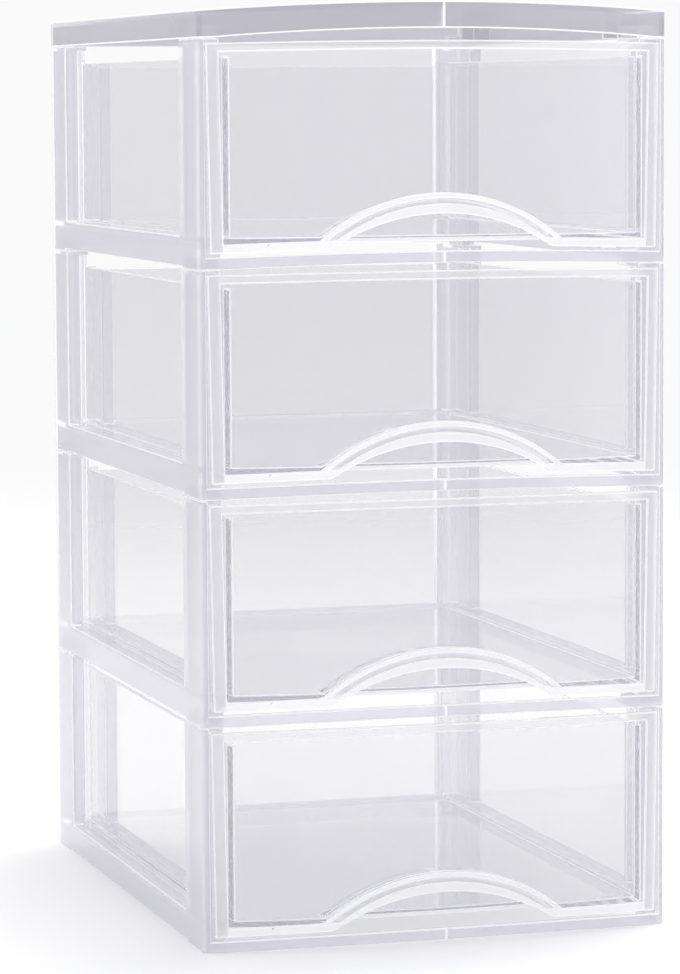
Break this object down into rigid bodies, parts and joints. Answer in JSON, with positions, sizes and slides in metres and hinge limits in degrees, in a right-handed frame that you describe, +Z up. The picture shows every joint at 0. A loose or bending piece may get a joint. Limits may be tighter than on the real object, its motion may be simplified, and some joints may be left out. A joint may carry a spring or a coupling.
{
  "type": "plastic drawer tower",
  "caption": "Clear plastic desk tower of stacked tier frames with a loose cover; each tier holds a pull-out drawer with an arched finger grip.",
  "frame": {"origin": "centre of the outline on the ground, under the tower", "axes": "+X to the right seen from the front, +Y towards the rear, +Z up; the drawers slide out towards -Y"},
  "size_m": [0.181, 0.2524, 0.3492],
  "materials": {
    "clear_frame": "clear polished plastic with a faint violet cast",
    "clear_drawer": "clear polished plastic, near colourless",
    "clear_cover": "clear polished plastic with a faint violet cast"
  },
  "bodies": {
    "tower": {"tier_frame_1": "clear_frame", "tier_frame_2": "clear_frame", "tier_frame_3": "clear_frame", "tier_frame_4": "clear_frame", "top_cover": "clear_cover"},
    "drawer_1": {"drawer_1": "clear_drawer"},
    "drawer_2": {"drawer_2": "clear_drawer"},
    "drawer_3": {"drawer_3": "clear_drawer"},
    "drawer_4": {"drawer_4": "clear_drawer"}
  },
  "joints": [
    {"name": "drawer_1_slide", "type": "slide", "parent": "tower", "child": "drawer_1", "axis": [0, -1, 0], "range_m": [0, 0.19]},
    {"name": "drawer_2_slide", "type": "slide", "parent": "tower", "child": "drawer_2", "axis": [0, -1, 0], "range_m": [0, 0.19]},
    {"name": "drawer_3_slide", "type": "slide", "parent": "tower", "child": "drawer_3", "axis": [0, -1, 0], "range_m": [0, 0.19]},
    {"name": "drawer_4_slide", "type": "slide", "parent": "tower", "child": "drawer_4", "axis": [0, -1, 0], "range_m": [0, 0.19]}
  ]
}
